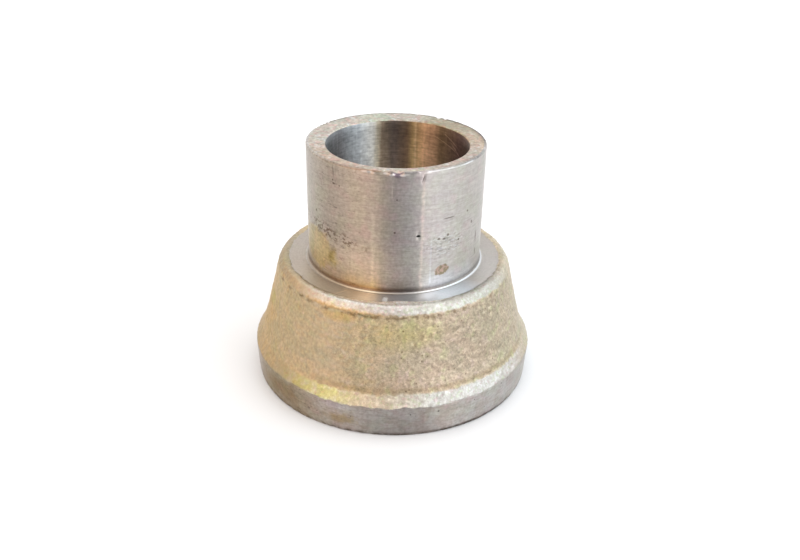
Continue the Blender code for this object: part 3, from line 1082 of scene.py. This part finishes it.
def outside_steel():
    """The whole outside: turned steel, and as-forged skin where the mesh says that none was cut."""
    p = Painter("turned_and_forged_steel")
    skin = p.node("Attribute")
    skin.attribute_name = "forged_depth"
    ragged = p.scaled(p.noise(0.25, 51, 2), 0.16, -0.08)
    forged = p.rise(p.maths("ADD", skin.outputs["Fac"], ragged), -0.04, 0.06)
    turned = collar_colour(p, turned_colour(p))
    colour = p.mix(forged, turned, forged_colour(p))

    feed_lines = p.lines(2, 0.2, 3, 2)
    chatter = p.lines(1.6, 1.4, 52, 2)
    turned_relief = p.scaled(chatter, 0.5, p.product(feed_lines, 0.2))
    grain = p.noise(0.38, 34, 3, 0.72)
    p.bump(p.number_mix(forged, p.product(turned_relief, 0.3), grain), 0.05)
    wall = p.scaled(p.noise(1.5, 53), 0.08, 0.33)
    above_collar = p.rise(p.height, SHOULDER_HEIGHT - 1, SHOULDER_HEIGHT - 0.5)
    faced = p.product(p.rise(p.radius, 13.5, 13.8), above_collar)
    roughness = p.number_mix(forged, p.number_mix(faced, wall, 0.32), 0.46)
    return p.finish(colour, roughness, p.number_mix(forged, 1, 0))


def end_face_steel():
    """The spigot's end: pale and mottled, with pink, olive and green tints and a worn outer edge."""
    p = Painter("end_face_steel")
    colour = p.mix(p.rise(p.noise(1.6, 61), 0.4, 0.6), (0.395, 0.345, 0.295), (0.365, 0.355, 0.295))
    colour = p.mix(p.rise(p.noise(1, 62), 0.5, 0.64), colour, (0.42, 0.315, 0.28))
    colour = p.mix(p.rise(p.noise(0.9, 69), 0.56, 0.68), colour, (0.46, 0.46, 0.44))
    colour = p.tints(
        colour,
        (p.sector(112, 156, 12), (0.72, 0.7, 0.56)),
        (p.sector(80, 112, 12), (0.98, 0.92, 0.8)),
        (p.sector(-175, -150, 8), (0.96, 1.08, 1.02)),
        (p.sector(-20, 8, 8), 1.12),
        (p.sector(-75, -20, 15), (0.97, 0.87, 0.8)),
        (p.sector(25, 110, 20), (0.94, 0.87, 0.83)),
    )
    colour = p.shade(colour, p.noise(0.5, 63, 3), 0.3, 1.7)
    colour = p.shade(colour, p.noise(1.1, 68), 0.66, 1.32)
    colour = p.shade(colour, p.lines(2.5, 0.18, 64), 0.86, 1.14)
    film = p.by_azimuth(END_FACE_FILM)
    colour = p.tint(colour, p.rise(p.radius, 12.35, 12.85), film)
    dot = p.patch(-35.3, 11.07, 0.28, 0.22, ragged=0.2, soft=0.25, radius=11, upright=p.radius)
    colour = p.mix(dot, colour, (0.16, 0.1, 0.07))
    p.bump(p.noise(0.45, 66, 3), 0.022)
    return p.finish(colour, p.scaled(p.noise(1, 67), 0.2, 0.32), 0.5)


def bore_steel():
    """The bored wall: rings from the boring tool, and bands of grey, blue-grey and gold, partly from its
    heat and partly painted reflections, with painted shade towards the mouth.
    """
    p = Painter("bore_steel", centre=BORE_OFFSET)
    angle = p.angle(from_back=True)
    wander = p.scaled(p.drips(0.8, 12, 71), 5, -2.5)
    colour = p.by_azimuth(BORE_TINTS_AND_REFLECTIONS, p.maths("ADD", angle, wander))
    # Painted light and shade: brighter deep in the bore, darker towards the mouth, where more light falls
    colour = p.shade(colour, p.rise(p.height, 31, 37.5), 1.16, 0.7)
    colour = p.shade(colour, p.drips(0.35, 9, 72, 3), 0.74, 1.26)
    colour = p.shade(colour, p.lines(2, 0.3, 73, 3), 0.5, 1.66)
    colour = p.shade(colour, p.noise(0.6, 74, 3), 0.62, 1.52)
    for azimuth, height, half_length, tilt in BORE_SCRATCHES:
        scratch = p.patch(azimuth, height, 0.08, half_length, tilt=tilt, ragged=0.15, radius=BORE_RADIUS)
        colour = p.tint(colour, scratch, (1.9, 1.95, 2))
    p.bump(p.lines(3, 0.3, 75), 0.008)
    return p.finish(colour, 0.42, 1)


def socket_steel():
    """The machined socket, its stop and the collar's end: plain dull steel with feed lines."""
    p = Painter("socket_steel")
    colour = p.mix(p.rise(p.noise(3, 81), 0.4, 0.62), (0.4, 0.38, 0.35), (0.38, 0.37, 0.32))
    colour = p.shade(colour, p.lines(5, 0.3, 82, 3), 0.72, 1.28)
    colour = p.shade(colour, p.noise(0.6, 83, 3), 0.82, 1.18)
    p.bump(p.lines(4, 0.3, 84), 0.01)
    return p.finish(colour, p.scaled(p.noise(1.4, 85), 0.15, 0.34), 0.8)


# --- The studio

def make_floor():
    """A plain pale floor."""
    half = FLOOR_HALF_WIDTH * MM
    mesh = bpy.data.meshes.new("studio_floor")
    corners = [(-half, -half, 0), (half, -half, 0), (half, half, 0), (-half, half, 0)]
    mesh.from_pydata(corners, [], [(0, 1, 2, 3)])
    floor = new_object("studio_floor", mesh)
    material = bpy.data.materials.new("studio_floor")
    material.use_nodes = True
    shader = material.node_tree.nodes["Principled BSDF"]
    shader.inputs["Base Color"].default_value = opaque(FLOOR_COLOUR)
    shader.inputs["Roughness"].default_value = 0.9
    shader.inputs["Specular IOR Level"].default_value = 0.1
    mesh.materials.append(material)


class SkyPainter(Painter):
    """The world's node tree, with the same short methods."""

    def __init__(self, world):
        self.tree = world.node_tree
        self.place = self.node("TexCoord").outputs["Generated"]
        self.x, self.y, self.height = self.node("SeparateXYZ", self.place).outputs
        self.azimuth = self.angle()


def make_world():
    """A soft surround: bands of light by azimuth, brighter overhead, and plain white to the camera."""
    world = bpy.data.worlds.new("studio")
    bpy.context.scene.world = world
    world.use_nodes = True
    sky = SkyPainter(world)
    bands = sky.by_azimuth(SURROUND_BANDS)
    overhead = sky.ramp(sky.height, OVERHEAD_SHARE)
    lit = sky.mix(overhead, bands, OVERHEAD_COLOUR)
    seen = sky.node("LightPath").outputs["Is Camera Ray"]
    background = world.node_tree.nodes["Background"]
    sky.feed(background.inputs["Color"], sky.mix(seen, lit, BACKDROP_COLOUR))
    background.inputs["Strength"].default_value = STUDIO_STRENGTH


def make_camera():
    """The camera looks down along +Y at the photograph's angle, with a slight roll."""
    data = bpy.data.cameras.new("camera")
    data.lens = CAMERA_LENS
    data.sensor_width = 36
    data.clip_start = 0.01
    data.clip_end = 20
    camera = new_object("camera", data)
    place = Matrix.Translation([length * MM for length in CAMERA_PLACE])
    pitch = Matrix.Rotation(math.radians(90 - CAMERA_ELEVATION), 4, "X")
    roll = Matrix.Rotation(CAMERA_ROLL, 4, "Z")
    camera.matrix_world = place @ pitch @ roll
    bpy.context.scene.camera = camera


def main():
    make_camera()
    body = visual_mesh()
    for material in (outside_steel(), end_face_steel(), bore_steel(), socket_steel()):
        body.data.materials.append(material)
    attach(body, "root")
    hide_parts(NODE)
    make_floor()
    make_world()
    bpy.context.scene.view_settings.view_transform = "Standard"
    bpy.context.scene.cycles.use_denoising = True


main()
